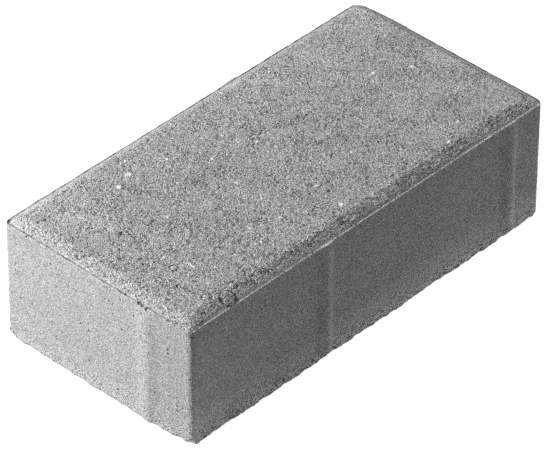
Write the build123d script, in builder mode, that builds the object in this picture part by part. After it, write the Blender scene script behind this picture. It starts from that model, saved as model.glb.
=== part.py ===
from build123d import *
import os

# A rectangular concrete paving brick, pressed in one piece: a plain block with
# a bevel round its wearing face and shallow spacer nibs up its sides.
# Millimetres, +Z up. The origin is the centre of the bed face, X runs along
# the length, the front side is at -Y and the left end at -X.

# Block
length = 200.0
width = 98.5
height = 58.0
corner_radius = 2.0  # upright corners, seen from above

# Bevel between the wearing face and the sides
bevel_width = 5.5  # seen from above
bevel_drop = 3.0  # from the wearing face down to the arris

# Spacer nibs, rounded ribs from the bed up to the arris
nib_width = 11.5  # from root to root
nib_proud = 1.2
nib_top_proud = 0.5  # what still stands out at the arris
nib_ramp = 8.0  # height over which the top leans back
nib_root = 3.0  # how far a nib's profile runs into the block

# Where the nibs stand, the other two sides being a half turn of these
middle_nib_inset = 74.8  # on the front side, from the left end
corner_nib_inset = 19.0  # on the front side, from the right end
end_nib_inset = 21.85  # on the left end, from the front side

arris_height = height - bevel_drop
middle_nib = middle_nib_inset - length / 2
corner_nib = length / 2 - corner_nib_inset
end_nib = end_nib_inset - width / 2

# A nib's section: a hollow root and a round crest on each flank, standing out
# towards -Y from a side that lies along X
with BuildSketch() as nib_section:
    with BuildLine():
        root = TangentArc((-nib_width / 2, 0), (-nib_width / 4, -nib_proud / 2), tangent=(1, 0))
        TangentArc(root @ 1, (0, -nib_proud), tangent=root % 1)
        Polyline((-nib_width / 2, 0), (-nib_width / 2, nib_root), (0, nib_root))
        mirror(about=Plane.YZ)
    make_face()

nib_places = []
for turn, side in ((0, 1), (180, -1)):
    nib_places.append(Location((side * middle_nib, -side * width / 2), turn))
    nib_places.append(Location((side * corner_nib, -side * width / 2), turn))
    nib_places.append(Location((-side * length / 2, side * end_nib), turn - 90))

# What the block may fill at each level: the nibs at the foot, their leaning
# tops, and the bevel, whose slope runs on over the nibs
nib_peak = arris_height - bevel_drop * nib_top_proud / bevel_width
ramp_lean = nib_proud - nib_top_proud
outsets = (
    (0, nib_proud + ramp_lean),
    (nib_peak - 2 * nib_ramp, nib_proud + ramp_lean),
    (nib_peak, nib_top_proud),
    (height, -bevel_width),
)

with BuildPart() as paving_brick:
    with BuildSketch():
        RectangleRounded(length, width, corner_radius)
        with Locations(nib_places):
            add(nib_section.sketch)
    extrude(amount=height)
    for level, outset in outsets:
        with BuildSketch(Plane.XY.offset(level)):
            Rectangle(length + 2 * outset, width + 2 * outset)
    loft(ruled=True, mode=Mode.INTERSECT)

paving_brick.part.label = "paving_brick"

os.makedirs("parts", exist_ok=True)
export_step(paving_brick.part, "parts/paving_brick.step")
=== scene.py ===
from math import radians
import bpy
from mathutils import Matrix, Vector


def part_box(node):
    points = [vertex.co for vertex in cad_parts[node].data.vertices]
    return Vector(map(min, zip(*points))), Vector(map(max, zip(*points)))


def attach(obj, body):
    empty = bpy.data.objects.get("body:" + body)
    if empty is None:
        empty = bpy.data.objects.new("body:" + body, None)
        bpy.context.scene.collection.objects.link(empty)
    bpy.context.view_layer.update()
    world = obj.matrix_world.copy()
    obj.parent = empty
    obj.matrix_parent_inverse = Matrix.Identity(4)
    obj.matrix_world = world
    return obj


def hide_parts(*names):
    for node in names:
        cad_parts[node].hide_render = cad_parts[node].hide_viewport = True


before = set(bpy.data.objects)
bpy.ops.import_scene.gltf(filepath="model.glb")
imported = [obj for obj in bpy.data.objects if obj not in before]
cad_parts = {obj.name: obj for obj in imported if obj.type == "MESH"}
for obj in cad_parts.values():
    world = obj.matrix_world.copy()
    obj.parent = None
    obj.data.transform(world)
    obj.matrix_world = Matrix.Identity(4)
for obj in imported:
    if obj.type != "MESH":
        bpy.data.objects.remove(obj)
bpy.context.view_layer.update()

from types import SimpleNamespace

import bmesh
import bpy
import numpy as np
from mathutils import Quaternion, Vector, noise

# A pressed concrete paving brick, lying on its bed
mm = 0.001
node = "paving_brick"


def deselectAll():
    if bpy.context.mode != "OBJECT":
        bpy.ops.object.mode_set(mode="OBJECT")
    bpy.ops.object.select_all(action="DESELECT")


def pick(piece, kind, wanted):
    # selects the faces or edges that the test wants, in edit mode
    shape = bmesh.from_edit_mesh(piece.data)
    bpy.ops.mesh.select_all(action="DESELECT")
    bpy.ops.mesh.select_mode(type=kind)
    for item in shape.faces if kind == "FACE" else shape.edges:
        if wanted(item):
            item.select_set(True)
    bmesh.update_edit_mesh(piece.data)


def applyModifier(piece, name, kind, **settings):
    deselectAll()
    piece.select_set(True)
    bpy.context.view_layer.objects.active = piece
    modifier = piece.modifiers.new(name, kind)
    for key, value in settings.items():
        setattr(modifier, key, value)
    bpy.ops.object.modifier_apply(modifier=modifier.name)


def perVertex(piece, what):
    # every vertex's place ("co") or "normal", as an array of three columns
    found = np.empty(len(piece.data.vertices) * 3)
    piece.data.vertices.foreach_get(what, found)
    return found.reshape(-1, 3)


def paint(piece, name, weights, steps=60):
    # a vertex group, its weights rounded to so many steps
    group = piece.vertex_groups.new(name=name)
    levels = np.rint(np.clip(weights, 0, 1) * steps).astype(int)
    for level in range(1, steps + 1):
        members = np.flatnonzero(levels == level)
        if len(members):
            group.add(members.tolist(), level / steps, "REPLACE")
    return name


def clouds(name, size, octaves, contrast, brightness):
    texture = bpy.data.textures.new(name, "CLOUDS")
    texture.noise_basis = "ORIGINAL_PERLIN"
    texture.noise_scale = size
    texture.noise_depth = octaves
    texture.contrast = contrast
    texture.intensity = brightness
    return texture


def cells(name, size):
    # rounded grains, lowest along the seams between them
    texture = bpy.data.textures.new(name, "VORONOI")
    texture.noise_scale = size
    texture.weight_1 = -1.0
    texture.weight_2 = 1.0
    return texture


def push(piece, zone, depth, texture=None, middle=0.5, direction="NORMAL"):
    applyModifier(
        piece,
        "push",
        "DISPLACE",
        vertex_group=zone,
        strength=depth,
        texture=texture,
        texture_coords="LOCAL",
        mid_level=middle if texture else 0,
        direction=direction,
    )


# Brick: the pressed block's own sizes and the relief that the mould and the mix left
brick = {
    "grid": 0.52 * mm,  # spacing of the mesh before it is thinned
    "arrisBand": 0.9 * mm,  # a finer mesh this near the arris
    "arrisCuts": 2,
    "triangles": 194000,
    "bevelWidth": 5.5 * mm,
    "bevelDrop": 3.0 * mm,
    "cornerRadius": 2.0 * mm,
    "cornerSegments": 6,
    "nibCrest": 0.4 * mm,  # its crest stands off centre, and one flank is steeper
    "nibFlanks": (6.6 * mm, 4.6 * mm),
    "nibProud": 1.2 * mm,
    "endNibProud": 0.9 * mm,  # the ends' nibs are worn lower
    "nibTopProud": 0.5 * mm,
    "nibRamp": 8.0 * mm,
    "frontNibs": (-25.2 * mm, 81.0 * mm),  # along X, turned half round for the back
    "leftNib": -27.4 * mm,  # along Y, turned half round for the right end
    "burrHeight": (0.5 * mm, 4.5 * mm),  # squeezed out over the bed, dying away between these
    "burrProud": (1.15, 0.5),  # long sides and ends, as shares of their nibs
    "burrPatch": 5.0 * mm,
    "finHeight": 0.85 * mm,  # feather edge along the arris
    "finWidth": 0.30 * mm,
    "finPatch": 4.0 * mm,
    "finMean": 0.85,
    "finWander": 0.4,
    "finNear": 0.6,  # its share on the near side and left end
    "rubReach": 1.3 * mm,  # the arris under it is rubbed down, most of all on the near side
    "rubDepth": 0.60 * mm,
    "rubFar": 0.5,  # its share away from the near side
    "landRise": 0.8 * mm,  # the smooth foot of the bevel, by height
    "landWander": 0.8 * mm,  # its upper edge wanders by this, in patches
    "landPatch": 3.0 * mm,
    "landBand": (8.0 * mm, 6.0 * mm),  # in from the rim, where it is changed by the next two
    "farLand": 0.9 * mm,  # higher on the far sides
    "nearLand": 0.6 * mm,  # lower on the right of the near side
    "nearStart": (-40.0 * mm, 0.0),  # along X, where it sets in and is whole
    "cornerWear": (4.0 * mm, 13.0 * mm),  # near the front corner the grain comes down to the arris
    "cornerLand": 1.6 * mm,
    "dipReach": 7.0 * mm,  # the front corner is rubbed down
    "dipDepth": 0.4 * mm,
    "dipDown": (6.0 * mm, 1.0 * mm),  # under the arris, where it sets in and is whole
    "leanReach": 17.0 * mm,  # beyond its nib each end falls back
    "leanDepth": 1.1 * mm,
    "leanBand": 4.0 * mm,
    "wallTop": (1.2 * mm, 0.3 * mm),  # under the arris, where the walls' own relief fades out
    "wallTurn": (0.3, 0.8),  # as the surface turns down to the bed
    "uprightBand": (1.02 * mm, 1.3 * mm),
    "farUpright": 0.5,  # the far upright corners are rubbed less, by this share
    "slopeFade": 2.5 * mm,  # the bevel's coarser grain goes on this far past it
    "pitPatch": 5.0 * mm,
    "pitLimits": (0.35, 0.75),  # of the noise that crowds them
    "pitLeast": 0.25,
    "slopePits": 0.3,
    "pitStart": (4.0 * mm, 9.0 * mm),  # from the front corner
    "footHeight": 9.0 * mm,  # the rougher band above the bed
    "edgeHeight": (0.4 * mm, 2.0 * mm),  # the ragged edge of the bed, up and inwards
    "edgeWidth": (0.5 * mm, 2.5 * mm),
    "stoneRise": 0.25 * mm,  # each shown stone, in its own groove
    "grooveDepth": 0.45 * mm,
    "grooveWidth": 0.35 * mm,
    # pressed in by turns, each into its zone; what an entry leaves out stands in roughen
    "relief": {
        "sag": {"zone": "wearing", "depth": 0.10 * mm, "size": 14 * mm, "octaves": 1},
        "lumps": {"zone": "wearing", "depth": 0.06 * mm, "size": 1.8 * mm, "contrast": 1.4},
        "grains": {"zone": "wearing", "depth": 0.08 * mm, "size": 1.3 * mm},
        "coarseSlope": {"zone": "slope", "depth": 0.14 * mm, "size": 1.8 * mm, "contrast": 1.4},
        "pits": {
            "zone": "pitted",
            "depth": -0.55 * mm,
            "size": 0.75 * mm,
            "octaves": 1,
            "contrast": 4.5,
            "brightness": 0.66,
            "middle": 0,
        },
        "mouldWear": {"zone": "walls", "depth": 0.20 * mm, "size": 25 * mm, "octaves": 1},
        "skin": {"zone": "walls", "depth": 0.04 * mm, "size": 2.2 * mm},
        "rubbed": {"zone": "upright", "depth": 0.50 * mm, "size": 1.2 * mm, "octaves": 3},
        "coarseFoot": {"zone": "foot", "depth": 0.50 * mm, "size": 2.2 * mm},
        "ragged": {"zone": "edge", "depth": 1.0 * mm, "size": 2.6 * mm, "middle": 0.6},
        "steps": {
            "zone": "edge",
            "depth": 0.5 * mm,
            "size": 6 * mm,
            "contrast": 3,
            "middle": 0,
            "direction": "Z",
        },
        "bedSkin": {"zone": "bed", "depth": 0.35 * mm, "size": 3.0 * mm, "middle": 0.8},
    },
}

# Knocks and holes, in millimetres: x, y, z, radius, depth
marks = (
    (-99.5, -23, 55, 1.2, 0.9),  # notch beside the end nib
    (-100, -25, 55, 1.5, 1.4),
    (-100, -27, 54.5, 1.0, 0.7),
    (-98.5, 48, 55.5, 1.3, 1.0),
    (-100, 49, 0, 6.0, 2.1),  # broken foot of the left corner
    (-100, -49, 0, 3.5, 1.0),
    (100, -49, 0, 4.5, 1.3),
    (100, 49, 55, 4.5, 1.0),  # the far corner is rubbed rounder
    (-73.5, -48, 55.5, 1.3, 0.9),  # both sides of a large stone in the bevel
    (-79, -45.5, 57, 1.0, 0.8),
    (-93, -32, 58, 0.9, 0.5),
    (-94, 37, 58, 1.0, 0.5),
    (-91, 36, 58, 1.2, 0.6),
    (-88, 36, 58, 0.9, 0.5),
    (-77, 9, 58, 1.0, 0.5),
    (-83, -7, 58, 1.3, 0.5),
    (-60, 26, 58, 1.0, 0.6),
    (-30, -22, 58, 1.0, 0.6),
    (-3, -30, 58, 1.1, 0.6),
    (-14, -16, 58, 1.0, 0.5),
    (17, 31, 58, 0.9, 0.5),
)

# Stones that show in the surface, in millimetres: x, y, z, radius
stones = (
    (-76, -46, 56.5, 3.2),
    (-78, -20, 58, 1.6),
    (-82, -41, 58, 1.8),
    (-70, -43, 58, 1.7),
    (-96, 11.5, 57, 1.5),
    (-60.5, -42.5, 58, 1.6),
)


def makeBlock(sizes, box):
    low, high = box
    length = high.x - low.x - 2 * sizes["nibProud"]
    width = high.y - low.y - 2 * sizes["nibProud"]
    arris = high.z - sizes["bevelDrop"]
    deselectAll()
    bpy.ops.mesh.primitive_cube_add(size=1, location=(0, 0, arris / 2), scale=(length, width, arris))
    block = bpy.context.object
    block.name = "brick"
    bpy.ops.object.transform_apply(location=True, rotation=True, scale=True)
    bpy.ops.object.mode_set(mode="EDIT")
    pick(block, "EDGE", lambda edge: abs(edge.verts[0].co.z - edge.verts[1].co.z) > arris / 2)
    bpy.ops.mesh.bevel(offset=sizes["cornerRadius"], segments=sizes["cornerSegments"], affect="EDGES")
    pick(block, "FACE", lambda face: face.normal.z > 0.9)
    bpy.ops.mesh.extrude_region_move(TRANSFORM_OT_translate={"value": (0, 0, sizes["bevelDrop"])})
    shrink = (1 - 2 * sizes["bevelWidth"] / length, 1 - 2 * sizes["bevelWidth"] / width, 1)
    bpy.ops.transform.resize(value=shrink, center_override=(0, 0, high.z))
    bpy.ops.object.mode_set(mode="OBJECT")
    grid = sizes["grid"]
    applyModifier(block, "even mesh", "REMESH", mode="VOXEL", voxel_size=grid, use_smooth_shade=True)
    return block, length, width, arris


def insideOf(x, y):
    # how far a place lies behind the walls
    corner = brick["cornerRadius"]
    dx, dy = np.abs(x) - length / 2 + corner, np.abs(y) - width / 2 + corner
    outside = np.hypot(np.maximum(dx, 0), np.maximum(dy, 0)) + np.minimum(np.maximum(dx, dy), 0)
    return corner - outside


block, length, width, arris = makeBlock(brick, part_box(node))
print("block pressed:", len(block.data.polygons), "faces")


def refineArris(block, reach, cuts):
    # a finer mesh along the arris, to carry its feather edge
    def near(face):
        x, y, z = face.calc_center_median()
        return abs(z - arris) < reach and abs(insideOf(x, y)) < reach

    bpy.ops.object.mode_set(mode="EDIT")
    pick(block, "FACE", near)
    bpy.ops.mesh.subdivide(number_cuts=cuts)
    bpy.ops.object.mode_set(mode="OBJECT")


refineArris(block, brick["arrisBand"], brick["arrisCuts"])
print("arris refined:", len(block.data.polygons), "faces")


def ease(value, low, high):
    # 0 at low, 1 at high, smooth between them
    t = np.clip((value - low) / (high - low), 0, 1)
    return t * t * (3 - 2 * t)


def patchy(spot, wanted, size):
    # slow noise about 0.5, only where it is wanted
    found = np.zeros(len(spot))
    for index in np.flatnonzero(wanted):
        found[index] = 0.5 + noise.noise(Vector(spot[index]) / size)
    return found


def paintZones(block, sizes):
    spot = perVertex(block, "co")
    up = perVertex(block, "normal")[:, 2]
    x, y, z = spot.T
    inside = insideOf(x, y)
    fromArris = np.hypot(inside, z - arris)
    fromCorner = np.hypot(x + length / 2, y + width / 2)

    # the wearing face, down to the smooth land at the foot of the bevel
    land = sizes["landRise"]
    outer, inner = sizes["landBand"]
    uneven = sizes["landWander"] * (patchy(spot, z > arris, sizes["landPatch"]) - 0.5)
    uneven = uneven + sizes["cornerLand"] * (1 - ease(fromCorner, *sizes["cornerWear"]))
    uneven = uneven - sizes["farLand"] * ease(np.maximum(x - length / 2, y - width / 2), -outer, -inner)
    nearRight = ease(-y - width / 2, -outer, -inner) * ease(x, *sizes["nearStart"])
    uneven = uneven + sizes["nearLand"] * nearRight
    wearing = ease(z - arris + uneven, land, 2 * land) * ease(z, arris, arris + 0.3 * mm)
    slope = wearing * (1 - ease(inside, sizes["bevelWidth"], sizes["bevelWidth"] + sizes["slopeFade"]))
    clustered = ease(patchy(spot, wearing > 0.02, sizes["pitPatch"]), *sizes["pitLimits"])
    clustered = sizes["pitLeast"] + (1 - sizes["pitLeast"]) * clustered
    pitted = np.maximum(wearing * clustered, sizes["slopePits"] * slope)

    # the walls, and their upright corners, where a step out both ways leads furthest from the walls
    lower, upper = sizes["wallTop"]
    walls = (1 - ease(z, arris - lower, arris - upper)) * (1 - ease(-up, *sizes["wallTurn"]))
    upright = walls * ease(-insideOf(np.abs(x) + mm, np.abs(y) + mm), *sizes["uprightBand"])
    upright = upright * (1 - sizes["farUpright"] * (y > 0))
    lean = ease(y * np.sign(x), width / 2 - sizes["leanReach"], width / 2)
    lean = lean * (1 - ease(length / 2 - np.abs(x), 0, sizes["leanBand"]))
    lower, upper = sizes["dipDown"]
    dip = (1 - ease(fromCorner, 0, sizes["dipReach"])) * ease(z, arris - lower, arris - upper)

    # the feather edge stands highest along the far side and right end
    nearSide = sizes["rubFar"] + (1 - sizes["rubFar"]) * ease(-y, width / 2 - 2 * mm, width / 2)
    farSide = np.maximum(ease(x - length / 2, -2 * mm, -mm), ease(y - width / 2, -2 * mm, -mm))
    crest = patchy(spot, fromArris < mm, sizes["finPatch"]) - 0.5
    crest = sizes["finMean"] + sizes["finWander"] * crest
    crest = crest * (sizes["finNear"] + (1 - sizes["finNear"]) * farSide)
    zones = {
        "wearing": wearing,
        "slope": slope,
        "pitted": pitted * ease(fromCorner, *sizes["pitStart"]),
        "leanLeft": lean * (x < 0),
        "leanRight": lean * (x > 0),
        "dip": dip,
        "walls": walls,
        "upright": upright,
        "foot": walls * (1 - ease(z, 0, sizes["footHeight"])),
        "bed": ease(-up, 0.5, 0.95),
        "edge": (1 - ease(z, *sizes["edgeHeight"])) * (1 - ease(inside, *sizes["edgeWidth"])),
        "rub": nearSide * np.exp(-((fromArris / sizes["rubReach"]) ** 2)),
        "fin": crest * np.exp(-((fromArris / sizes["finWidth"]) ** 2)),
    }
    for name, weights in zones.items():
        paint(block, name, weights)


def addNibs(block, sizes):
    # the nibs of each wall, and the burr along its foot
    spot = perVertex(block, "co")
    near, far = sizes["frontNibs"]
    left = sizes["leftNib"]
    gentle, steep = sizes["nibFlanks"]
    sides = (  # axis along the wall, axis out of it, which way, how proud, where the nibs are
        (0, 1, -1, sizes["nibProud"], (near, far)),
        (0, 1, 1, sizes["nibProud"], (-near, -far)),
        (1, 0, -1, sizes["endNibProud"], (left,)),
        (1, 0, 1, sizes["endNibProud"], (-left,)),
    )
    half = (length / 2, width / 2)
    burr = 1 - ease(spot[:, 2], *sizes["burrHeight"])
    burr = burr * (0.8 + 0.6 * (patchy(spot, burr > 0, sizes["burrPatch"]) - 0.5))
    rise = np.clip((arris - spot[:, 2]) / sizes["nibRamp"], 0, 1)
    for number, (along, out, way, proud, nibs) in enumerate(sides):
        share = (sizes["nibTopProud"] + (proud - sizes["nibTopProud"]) * rise) / proud
        raised = burr * sizes["burrProud"][1 - out]
        for where in nibs:
            offset = -way * (spot[:, along] - where) - sizes["nibCrest"]
            flank = np.where(offset < 0, gentle, steep if out == 1 else gentle)
            across = np.clip(np.abs(offset) / flank, 0, 1)
            raised = np.maximum(raised, 0.5 * (1 + np.cos(np.pi * across)) * share)
        depth = half[out] - way * spot[:, out]
        reach = np.clip(1 - depth / (4 * sizes["grid"]), 0, 1)
        zone = paint(block, "wall%d" % number, raised * reach)
        push(block, zone, way * proud, direction="XY"[out])


def addMarks(block, marks):
    spot = perVertex(block, "co")
    deepest = max(mark[4] for mark in marks)
    weights = np.zeros(len(spot))
    for x, y, z, radius, depth in marks:
        away = np.linalg.norm(spot / mm - (x, y, z), axis=1) / radius
        weights = np.maximum(weights, depth / deepest * (1 - ease(away, 0.15, 1.0)))
    paint(block, "marks", weights)
    push(block, "marks", -deepest * mm)


def addStones(block, stones, sizes):
    # each one stands up a little in its own groove
    spot = perVertex(block, "co")
    domes = np.zeros(len(spot))
    grooves = np.zeros(len(spot))
    wide = sizes["grooveWidth"] / mm
    for x, y, z, radius in stones:
        away = np.linalg.norm(spot / mm - (x, y, z), axis=1) - radius
        domes = np.maximum(domes, 1 - ease(away, -0.9 * radius, 0.1))
        grooves = np.maximum(grooves, np.exp(-(((away - 0.2) / wide) ** 2)))
    paint(block, "domes", domes)
    paint(block, "grooves", grooves)
    push(block, "domes", sizes["stoneRise"])
    push(block, "grooves", -sizes["grooveDepth"])


def wearEdges(block, sizes):
    push(block, "rub", -sizes["rubDepth"], direction="Z")
    push(block, "fin", sizes["finHeight"], direction="Z")
    push(block, "leanLeft", sizes["leanDepth"], direction="X")
    push(block, "leanRight", -sizes["leanDepth"], direction="X")
    push(block, "dip", -sizes["dipDepth"], direction="Z")


def roughen(block, relief):
    for name, kind in relief.items():
        if name == "grains":
            texture = cells(name, kind["size"])
        else:
            octaves, contrast = kind.get("octaves", 2), kind.get("contrast", 1.0)
            texture = clouds(name, kind["size"], octaves, contrast, kind.get("brightness", 1.0))
        middle, direction = kind.get("middle", 0.5), kind.get("direction", "NORMAL")
        push(block, kind["zone"], kind["depth"], texture, middle, direction)


paintZones(block, brick)
addNibs(block, brick)
print("nibs raised")
addMarks(block, marks)
addStones(block, stones, brick)
wearEdges(block, brick)
roughen(block, brick["relief"])
print("relief pressed in")
triangles = sum(len(face.vertices) - 2 for face in block.data.polygons)
applyModifier(block, "thin out", "DECIMATE", ratio=brick["triangles"] / triangles)
block.vertex_groups.clear()
print("thinned to", len(block.data.polygons), "faces")


# Concrete
class Wire:
    # one socket of a material; sums written on it add their Math nodes
    def __init__(self, finish, socket):
        self.finish = finish
        self.socket = socket

    def maths(self, operation, *terms):
        return self.finish.add("Math", {"operation": operation}, dict(enumerate(terms)))

    def __add__(self, other):
        return self.maths("ADD", self, other)

    def __radd__(self, other):
        return self.maths("ADD", other, self)

    def __sub__(self, other):
        return self.maths("SUBTRACT", self, other)

    def __rsub__(self, other):
        return self.maths("SUBTRACT", other, self)

    def __mul__(self, other):
        return self.maths("MULTIPLY", self, other)

    def __rmul__(self, other):
        return self.maths("MULTIPLY", other, self)

    def size(self):
        return self.maths("ABSOLUTE", self)

    def sign(self):
        return self.maths("SIGN", self)

    def least(self, other):
        return self.maths("MINIMUM", self, other)

    def most(self, other):
        return self.maths("MAXIMUM", self, other)

    def between(self, low, high):
        # low where this is 0, high where it is 1
        return low + (high - low) * self

    def rise(self, low, high):
        # 0 at low, 1 at high, smooth between them, and falling where low is the larger
        return self.finish.add(
            "MapRange",
            {"interpolation_type": "SMOOTHSTEP"},
            {"Value": self, "From Min": low, "From Max": high},
        )


class Finish:
    def __init__(self, name):
        self.material = bpy.data.materials.new(name)
        self.material.use_nodes = True
        self.tree = self.material.node_tree
        self.shader = self.tree.nodes["Principled BSDF"]

    def add(self, kind, settings, inputs, output=0):
        made = self.tree.nodes.new("ShaderNode" + kind)
        for key, value in settings.items():
            setattr(made, key, value)
        for key, value in inputs.items():
            self.feed(made.inputs[key], value)
        return Wire(self, made.outputs[output])

    def feed(self, socket, value):
        if isinstance(value, Wire):
            self.tree.links.new(value.socket, socket)
        else:
            socket.default_value = value


# sizes in millimetres; a pair with a tone's or height's name is for the walls and the wearing face
concreteLook = {
    "grey": 0.40,
    "toneLimits": (0.05, 2.1),
    "roughness": 0.93,
    "specular": 0.3,
    "rubShare": 0.7,  # how much of the rubbed depth the arris has lost on average
    "arrisFade": (0.2, 0.1),  # under and over the arris
    "landRise": (0.45, 1.5),  # the wearing texture starts this high on the bevel
    "landWander": 1.6,
    "wanderSize": 2.5,
    "bevelFade": (1.0, 0.5),  # past and before the bevel's inner edge
    "sideFade": (1.5, 0.7),  # in from a side's face
    "footFade": (10.0, 4.0),  # the rougher foot, downwards from nothing to all of it
    "footWander": 9,
    "blotchSize": 3.0,
    "burrFade": (5.5, 2.5),
    "footShare": 0.45,  # the foot and the burr are this coarse beside the wearing face
    "sandSize": 0.36,
    "sandTone": (1.05, 1.35),  # how much one grain differs from the next
    "fineSize": 0.45,
    "fineTone": (0.6, 1.20),
    "fineHeight": (0.30, 0.50),
    "cloudSize": 16.0,
    "cloudTone": (0.10, 0.50),
    "wearTone": 0.83,
    "slopeTone": 0.11,  # the bevels are paler
    "farSlope": 0.4,  # the share of it on the far ones
    "farReach": (12, 42),  # the wearing face is paler near its far side and left end
    "farTone": 0.13,
    "leftReach": (-45, -90),
    "leftTone": 0.08,
    "footReach": (18, 0),  # the near side's foot is paler, painted bounce light from the floor and partly a paler foot
    "paleFootAndBounce": 0.50,
    "otherFoot": 0.25,  # the share of it on the other walls
    "wallMiddle": 27,  # painted light from below: the near side darkens upwards, per millimetre from this height
    "wallFade": 0.0060,
    "beyondReach": (26, 18),  # the ends are darker beyond their nibs
    "beyondTone": 0.07,
    "edgeHighlightReach": (0.65, 0.40),  # painted highlight along the near side's edge, where the crest of the feather edge catches the key light
    "edgeHighlightTone": 1.5,
    "edgeHighlightPatch": 5.0,
    "edgeHighlightLeast": 0.4,
    "finShadowStart": (0.05, 0.20),  # painted shadow behind the feather edge, setting in and ending inwards
    "finShadowEnd": (0.85, 0.60),
    "finShadowWander": 0.4,
    "finShadowTone": 0.64,
    "finShadowLeast": 0.5,
    "finShadowCorner": (4, 14),  # none at the front corner
    "farFinShadow": 0.45,  # wider at the far side and right end, where distances count this much
    "rightFinShadow": 1.25,  # darker on the right half
    "patchLimits": (0.35, 0.60),  # of the noise that breaks up the painted edge highlight and the painted fin shadow
    "pitSize": 0.6,
    "pitRough": 0.55,
    "pitReach": (0.63, 0.69),
    # painted shade in every hollow: pits, pores, cracks, knocks, the grooves round stones and the foot
    # line
    "hollowShade": 0.92,
    "pitDepth": 0.50,
    "crowdSize": 4.5,
    "crowdLimits": (0.42, 0.60),
    "crowdWander": 8,
    "crowdLeast": 0.35,
    "crowdSlope": (0.003, 0.004),  # fewer pits along and across, per millimetre
    "crowdMiddle": 0.7,
    "crowdGain": 0.04,  # crowded pits are larger too
    "poreClumps": 12.0,
    "poreLimits": (0.45, 0.60),
    "poreShare": (0.25, 0.90),
    "smoothCorner": (10, 3),  # the front corner has no pits
    "crackSize": 0.7,
    "crackStretch": (0.35, 0.35, 1.0),
    "crackLimits": (0.62, 0.67),
    "crackTone": 0.8,
    # a painted shadow line along the foot of the long sides
    "footShadowHeight": (1.1, 0.5),
    "footShadowPatch": 2.0,
    "footShadowLeast": 0.4,
    "footShadowTone": 0.6,
    "wobbleSize": 1.2,  # ragged outlines of holes, stones and pebbles
    "wobble": 1.6,
    "holeRadius": 3.0,  # knocks smaller than this get painted shade in their hollow
    "holeTone": 0.85,
    "ringSize": 1.8,
    "ringInner": (-0.10, 0.15),  # the painted shade in the groove round a stone, from its radius
    "ringOuter": (0.55, 0.30),
    "ringWobble": 0.3,
    "ringTone": 0.8,
    "brokenLimits": (0.40, 0.55),  # of the noise that breaks up the painted foot shadow and the rings
    "pepperTone": 0.88,
    "paleTone": 0.45,
    "quartzTone": 1.9,
    "quartzGloss": 0.25,
    "quartzHeight": 0.1,
    "quartzWalls": 0.25,  # the share of it in the walls
    "quartzEdge": 0.06,
    "domeSize": 0.8,
    "domeHeight": (0.04, 0.30),
    "slopeDomes": 1.4,
    "dragSize": 1.6,
    "dragStretch": (1.0, 1.0, 0.06),
    "dragHeight": 0.08,
    "dots": {  # spacing, reach as shares of it, the luck that keeps one, and luck's channel
        "pore": (2.2, (0.24, 0.15), (0.60, 0.80), 1),
        "pepper": (1.4, (0.31, 0.20), (0.66, 0.80), 1),
        "pale": (2.3, (0.19, 0.12), (0.30, 0.70), 2),
        "quartz": (6.0, (0.115, 0.085), (0.45, 0.75), 1),
    },
}

# Larger pale pebbles in the wearing face, in millimetres: x, y, radius
pebbles = (
    (-57, 30, 1.3),
    (-49, 33, 1.4),
    (-72.5, -21.5, 0.6),  # a long flat one
    (-72.5, -23, 0.8),
    (-72.5, -24.5, 0.6),
    (-67, -31, 0.5),
    (-76, -35.5, 0.6),
    (-57.5, 3.5, 0.8),
    (-42.5, -31.5, 0.7),
    (-44, -33, 0.7),
    (-28, -27.5, 0.7),
    (-49.5, -47, 0.7),
    (-4, -24, 1.0),
    (-6, -39, 1.1),
    (52, -42, 0.9),
    (65, 9, 1.0),
    (79, 1, 0.8),
)

# Where the pits of the wearing face crowd together, in millimetres: x, y, radius
patches = ((-74, -18, 9), (64, -38, 10), (-12, -34, 8), (-30, -26, 6), (-91, 35, 8), (-28, 14, 7))


class Concrete(Finish):
    # places and noises in millimetres, and the noises that more than one effect shares
    def __init__(self, name, look):
        super().__init__(name)
        place = self.add("TexCoord", {}, {}, "Object")
        self.spot = self.add("VectorMath", {"operation": "SCALE"}, {0: place, "Scale": 1 / mm})
        self.flat = self.stretched(1, 1, 0)
        self.along = self.add("SeparateXYZ", {}, {0: self.spot}, "X")
        self.across = self.add("SeparateXYZ", {}, {0: self.spot}, "Y")
        self.height = self.add("SeparateXYZ", {}, {0: self.spot}, "Z")
        self.fine = self.grain(look["fineSize"], 1.0) - 0.5
        self.wander = self.grain(look["wanderSize"]) - 0.5
        self.wobble = (self.grain(look["wobbleSize"]) - 0.5) * look["wobble"]
        self.blotch = self.grain(look["blotchSize"])

    def stretched(self, x, y, z):
        return self.add("VectorMath", {"operation": "MULTIPLY"}, {0: self.spot, 1: (x, y, z)})

    def distance(self, at, x, y, z):
        return self.add("VectorMath", {"operation": "DISTANCE"}, {0: at, 1: (x, y, z)}, "Value")

    def grain(self, size, detail=2.0, rough=0.5, at=None):
        settings = {"Vector": at or self.spot, "Scale": 1 / size, "Detail": detail, "Roughness": rough}
        return self.add("TexNoise", {}, settings, "Fac")

    def cell(self, size, output="Distance"):
        return self.add("TexVoronoi", {}, {"Vector": self.spot, "Scale": 1 / size}, output)

    def luck(self, size, channel):
        return self.add("SeparateColor", {}, {"Color": self.cell(size, "Color")}, channel)

    def dots(self, kind, edge=None):
        # small spots, kept where luck has it; the edge makes them ragged
        spacing, reach, chance, channel = kind
        away = self.cell(spacing) if edge is None else self.cell(spacing) + edge
        return away.rise(*reach) * self.luck(spacing, channel).rise(*chance)


def inMm(name):
    # one of the brick's own sizes, in millimetres
    size = brick[name]
    return [part / mm for part in size] if isinstance(size, tuple) else size / mm


halfLength, halfWidth, arrisHeight = length / 2 / mm, width / 2 / mm, arris / mm


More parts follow.
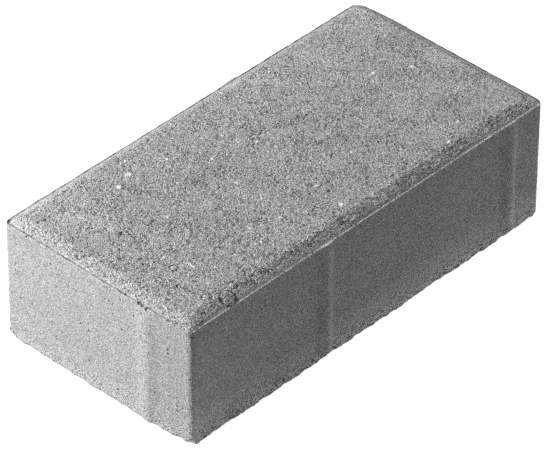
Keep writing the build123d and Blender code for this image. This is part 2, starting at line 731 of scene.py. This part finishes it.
def mapZones(mix, look):
    # each from 0 to 1, but for the distances
    zone = SimpleNamespace()
    zone.fromCorner = mix.distance(mix.flat, -halfLength, -halfWidth, 0)
    zone.toFar = (halfLength - mix.along).least(halfWidth - mix.across)
    toRim = (halfLength - mix.along.size()).least(halfWidth - mix.across.size())
    zone.turned = mix.along.sign() * mix.across  # the right half turned round, as its nib is
    zone.rightHalf = mix.along.rise(0, 1)

    # the wearing face, down to the land at the foot of the bevel
    dip = zone.fromCorner.rise(inMm("dipReach"), 0)
    worn = mix.height + dip * inMm("dipDepth") + look["rubShare"] * inMm("rubDepth")
    under, over = look["arrisFade"]
    zone.aboveArris = worn.rise(arrisHeight - under, arrisHeight + over)
    full, none = inMm("cornerWear")
    uneven = worn + zone.fromCorner.rise(none, full) * inMm("cornerLand") + mix.wander * look["landWander"]
    outer, inner = inMm("landBand")
    zone.farBand = zone.toFar.rise(outer, inner)
    nearRight = mix.across.rise(outer - halfWidth, inner - halfWidth) * mix.along.rise(*inMm("nearStart"))
    uneven = uneven - zone.farBand * inMm("farLand") + nearRight * inMm("nearLand")
    low, high = look["landRise"]
    zone.wearing = uneven.rise(arrisHeight + low, arrisHeight + high) * zone.aboveArris
    past, before = look["bevelFade"]
    zone.bevel = toRim.rise(inMm("bevelWidth") + past, inMm("bevelWidth") - before)

    # the walls and their foot
    none, full = look["sideFade"]
    zone.longSide = mix.across.size().rise(halfWidth - none, halfWidth - full)
    zone.nearSide = mix.across.rise(none - halfWidth, full - halfWidth)
    foot = (mix.height + (mix.blotch - 0.5) * look["footWander"]).rise(*look["footFade"])
    zone.burr = mix.height.rise(*look["burrFade"]) * zone.longSide
    zone.coarse = (zone.wearing + foot * look["footShare"] + zone.burr * look["footShare"]).least(1.0)
    return zone


def mixTone(mix, look, zone):
    # each grain, then the mix at larger sizes
    sand = mix.luck(look["sandSize"], 0) - 0.5
    cloudy = mix.grain(look["cloudSize"], 3.0, 0.6) - 0.5
    tone = 1 + sand * zone.coarse.between(*look["sandTone"])
    tone = tone + mix.fine * zone.coarse.between(*look["fineTone"])
    tone = tone * (1 + cloudy * zone.coarse.between(*look["cloudTone"]))
    tone = tone * zone.wearing.between(1, look["wearTone"])
    paler = mix.across.rise(*look["farReach"]) * look["farTone"]
    paler = paler + mix.along.rise(*look["leftReach"]) * look["leftTone"]
    tone = tone * (1 + paler * zone.wearing)
    foot = mix.height.rise(*look["footReach"]) * zone.nearSide.between(look["otherFoot"], 1)
    # painted bounce light from the floor on the near side's foot, and partly a paler foot
    tone = tone * (1 + look["paleFootAndBounce"] * foot)
    slopes = zone.bevel * zone.aboveArris * zone.farBand.between(1, look["farSlope"])
    tone = tone * (1 + look["slopeTone"] * slopes)
    # painted light from below on the near side
    tone = tone * (1 + (look["wallMiddle"] - mix.height) * look["wallFade"] * zone.nearSide)
    none, full = look["beyondReach"]
    beyond = zone.turned.rise(halfWidth - none, halfWidth - full)
    beyond = beyond * (1 - zone.wearing) * (1 - zone.longSide)
    tone = tone * (1 - look["beyondTone"] * beyond)
    # painted highlight along the near side's edge
    none, full = look["edgeHighlightReach"]
    edgeHighlight = mix.across.rise(none - halfWidth, full - halfWidth) * zone.aboveArris
    edgeHighlight = edgeHighlight * mix.grain(look["edgeHighlightPatch"]).rise(*look["patchLimits"]).between(look["edgeHighlightLeast"], 1)
    return tone * (1 + look["edgeHighlightTone"] * edgeHighlight)


def sinkPits(mix, look, zone):
    # pits between the grains, gathered in patches, and lone pores in the walls
    clumps = mix.grain(look["crowdSize"])
    straggle = (clumps - 0.5) * look["crowdWander"]
    crowd = clumps.rise(*look["crowdLimits"])
    for x, y, radius in patches:
        reach = mix.distance(mix.flat, x, y, 0) + straggle
        crowd = crowd.most(reach.rise(radius, 0.5 * radius))
    perAlong, perAcross = look["crowdSlope"]
    crowd = crowd.between(look["crowdLeast"], 1) * (1 - mix.along * perAlong - mix.across * perAcross)
    pits = mix.grain(look["pitSize"], 2.0, look["pitRough"])
    pits = pits + look["crowdGain"] * (crowd - look["crowdMiddle"])
    pits = pits.rise(*look["pitReach"]) * crowd.least(1.0) * zone.coarse
    gathered = mix.grain(look["poreClumps"]).rise(*look["poreLimits"]).between(*look["poreShare"])
    pores = mix.dots(look["dots"]["pore"]) * (1 - zone.wearing) * gathered
    return (pits + pores).least(1.0) * (1 - zone.fromCorner.rise(*look["smoothCorner"]) * zone.aboveArris)


def openCracks(mix, look, zone):
    # cracks, and a painted shadow line along the foot of the long sides, where they meet the floor
    cracks = mix.grain(look["crackSize"], 1.0, at=mix.stretched(*look["crackStretch"]))
    cracks = cracks.rise(*look["crackLimits"]) * zone.burr
    footShadow = mix.height.rise(*look["footShadowHeight"]) * zone.longSide
    footShadow = footShadow * mix.grain(look["footShadowPatch"]).rise(*look["brokenLimits"]).between(look["footShadowLeast"], 1)
    return (cracks * look["crackTone"]).most(footShadow * look["footShadowTone"])


def openHoles(mix, look, hollow):
    # the knocks, and the rings round the stones
    for x, y, z, radius, depth in marks:
        if radius < look["holeRadius"]:
            reach = mix.distance(mix.spot, x, y, z) + mix.wobble
            hollow = hollow.most(reach.rise(0.9 * radius, 0.3 * radius) * look["holeTone"])
    broken = mix.grain(look["ringSize"]).rise(*look["brokenLimits"]) * look["ringTone"]
    innerStart, innerEnd = look["ringInner"]
    outerEnd, outerStart = look["ringOuter"]
    for x, y, z, radius in stones:
        reach = mix.distance(mix.spot, x, y, z) + mix.wobble * look["ringWobble"]
        ring = reach.rise(radius + innerStart, radius + innerEnd)
        ring = ring * reach.rise(radius + outerEnd, radius + outerStart)
        hollow = hollow.most(ring * broken)
    return hollow


def paintFinShadow(mix, look, zone):
    # painted shadow just inside the feather edge, as its fin would cast it, except along the near side
    lean = zone.turned.rise(halfWidth - inMm("leanReach"), halfWidth) * inMm("leanDepth")
    fromEnd = (halfLength - mix.along.size() - lean) * zone.rightHalf.between(1, look["farFinShadow"])
    inside = fromEnd.least((halfWidth - mix.across) * look["farFinShadow"]) + mix.wander * look["finShadowWander"]
    finShadow = inside.rise(*look["finShadowStart"]) * inside.rise(*look["finShadowEnd"]) * zone.aboveArris
    finShadow = finShadow * mix.blotch.rise(*look["patchLimits"]).between(look["finShadowLeast"], 1)
    finShadow = finShadow * zone.fromCorner.rise(*look["finShadowCorner"])
    return finShadow * zone.rightHalf.between(1, look["rightFinShadow"])


def setQuartz(mix, look, zone):
    # pale quartz grains, and the larger pebbles of the wearing face
    edge = (mix.grain(1.0) - 0.5) * look["quartzEdge"]
    quartz = mix.dots(look["dots"]["quartz"], edge) * zone.wearing.between(look["quartzWalls"], 1)
    for x, y, radius in pebbles:
        reach = mix.distance(mix.flat, x, y, 0) + mix.wobble
        quartz = quartz.most(reach.rise(radius, 0.7 * radius) * zone.wearing)
    return quartz


def makeConcrete(look):
    mix = Concrete("pressed concrete", look)
    zone = mapZones(mix, look)
    hollow = openHoles(mix, look, sinkPits(mix, look, zone).most(openCracks(mix, look, zone)))
    finShadow = paintFinShadow(mix, look, zone)
    quartz = setQuartz(mix, look, zone)
    pepper = mix.dots(look["dots"]["pepper"])
    pale = mix.dots(look["dots"]["pale"])

    # the hollows are painted darker, as painted shade in them
    tone = mixTone(mix, look, zone) * (1 - look["hollowShade"] * hollow)
    tone = tone * (1 - look["pepperTone"] * pepper * zone.coarse)
    # painted shadow behind the feather edge
    tone = tone * (1 - look["finShadowTone"] * finShadow)
    tone = tone * (1 + look["paleTone"] * pale * zone.coarse)
    darkest, palest = look["toneLimits"]
    tone = (tone * (1 - quartz) + look["quartzTone"] * quartz).most(darkest).least(palest)
    shade = tone * look["grey"]
    colour = mix.add("CombineColor", {}, {0: shade, 1: shade, 2: shade})
    mix.feed(mix.shader.inputs["Base Color"], colour)
    mix.feed(mix.shader.inputs["Roughness"], look["roughness"] - look["quartzGloss"] * quartz)
    mix.feed(mix.shader.inputs["Specular IOR Level"], look["specular"])

    # relief under a millimetre: grains, pits and the skin's drag marks
    domes = (1 - mix.cell(look["domeSize"])) * zone.coarse.between(*look["domeHeight"])
    domes = domes * (zone.bevel * zone.wearing).between(1, look["slopeDomes"])
    drag = mix.grain(look["dragSize"], at=mix.stretched(*look["dragStretch"])) * look["dragHeight"]
    relief = domes + mix.fine * zone.coarse.between(*look["fineHeight"]) + drag * (1 - zone.wearing)
    relief = relief - hollow * look["pitDepth"] + quartz * look["quartzHeight"]
    bump = mix.add("Bump", {}, {"Height": relief * mm, "Distance": 1.0, "Strength": 1.0})
    mix.feed(mix.shader.inputs["Normal"], bump)
    return mix.material


block.data.materials.clear()
block.data.materials.append(makeConcrete(concreteLook))
print("concrete mixed")

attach(block, "root")
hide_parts(node)

# Camera, where the lens stood when the brick was shot
shot = {
    "place": (-1.14453, -1.07186, 1.25138),
    "target": (-0.00341, -0.00037, 0.02550),
    "roll": 0.30,  # degrees
    "lens": 336.6,  # millimetres, as the sensor is
    "sensor": 36,
    "farthest": 20,
}


def setCamera(shot):
    bpy.ops.object.camera_add(location=shot["place"])
    camera = bpy.context.object
    camera.name = "camera"
    camera.data.sensor_width = shot["sensor"]
    camera.data.lens = shot["lens"]
    camera.data.clip_end = shot["farthest"]
    look = (Vector(shot["target"]) - Vector(shot["place"])).to_track_quat("-Z", "Y")
    camera.rotation_mode = "QUATERNION"
    camera.rotation_quaternion = look @ Quaternion((0, 0, 1), radians(shot["roll"]))
    bpy.context.scene.camera = camera


deselectAll()
setCamera(shot)
print("camera set")

# Floor and lamps
studio = {
    "floorSize": 12.0,
    "floorGrey": 0.45,
    "floorRoughness": 0.9,
    "floorGlow": 0.90,
    "world": 0.0,
    "aim": (0, 0, 0.03),
    "lamps": {  # azimuth from -Y towards +X, elevation, distance, width, watts
        "key": (-130, 29, 1.1, 0.17, 18.5),
        "fill": (80, 30, 0.8, 0.4, 2.6),
        "near": (35, 20, 1.2, 0.7, 1.2),
        "sky": (0, 89, 1.5, 1.0, 6.8),
    },
}


def makeFloor(studio):
    deselectAll()
    bpy.ops.mesh.primitive_plane_add(size=studio["floorSize"], location=(0, 0, 0))
    floor = bpy.context.object
    floor.name = "floor"
    paper = Finish("paper floor")
    paper.feed(paper.shader.inputs["Base Color"], (studio["floorGrey"],) * 3 + (1,))
    paper.feed(paper.shader.inputs["Roughness"], studio["floorRoughness"])
    # what the lens sees of it is lifted to white, and its shadow stays
    seen = paper.add("LightPath", {}, {}, "Is Camera Ray")
    for ray in ("Is Glossy Ray", "Is Transmission Ray"):
        seen = seen.most(paper.add("LightPath", {}, {}, ray))
    glow = paper.add("Emission", {}, {"Strength": studio["floorGlow"]})
    plain = Wire(paper, paper.shader.outputs[0])
    lifted = paper.add("AddShader", {}, {0: plain, 1: glow})
    mixed = paper.add("MixShader", {}, {0: seen, 1: plain, 2: lifted})
    paper.feed(paper.tree.nodes["Material Output"].inputs["Surface"], mixed)
    floor.data.materials.append(paper.material)


def makeLamps(studio):
    target = Vector(studio["aim"])
    for name, (azimuth, elevation, distance, size, watts) in studio["lamps"].items():
        a, e = radians(azimuth), radians(elevation)
        away = Vector((np.sin(a) * np.cos(e), -np.cos(a) * np.cos(e), np.sin(e)))
        bpy.ops.object.light_add(type="AREA", location=target + away * distance)
        lamp = bpy.context.object
        lamp.name = name
        lamp.data.size = size
        lamp.data.energy = watts
        lamp.rotation_mode = "QUATERNION"
        lamp.rotation_quaternion = away.to_track_quat("Z", "Y")


def makeRoom(studio):
    world = bpy.data.worlds.new("room")
    bpy.context.scene.world = world
    world.use_nodes = True
    background = world.node_tree.nodes["Background"]
    background.inputs["Color"].default_value = (1, 1, 1, 1)
    background.inputs["Strength"].default_value = studio["world"]


makeFloor(studio)
makeLamps(studio)
makeRoom(studio)
bpy.context.scene.view_settings.view_transform = "Standard"
bpy.context.scene.cycles.use_denoising = False  # it would smear the grain of the concrete
print("studio lit")
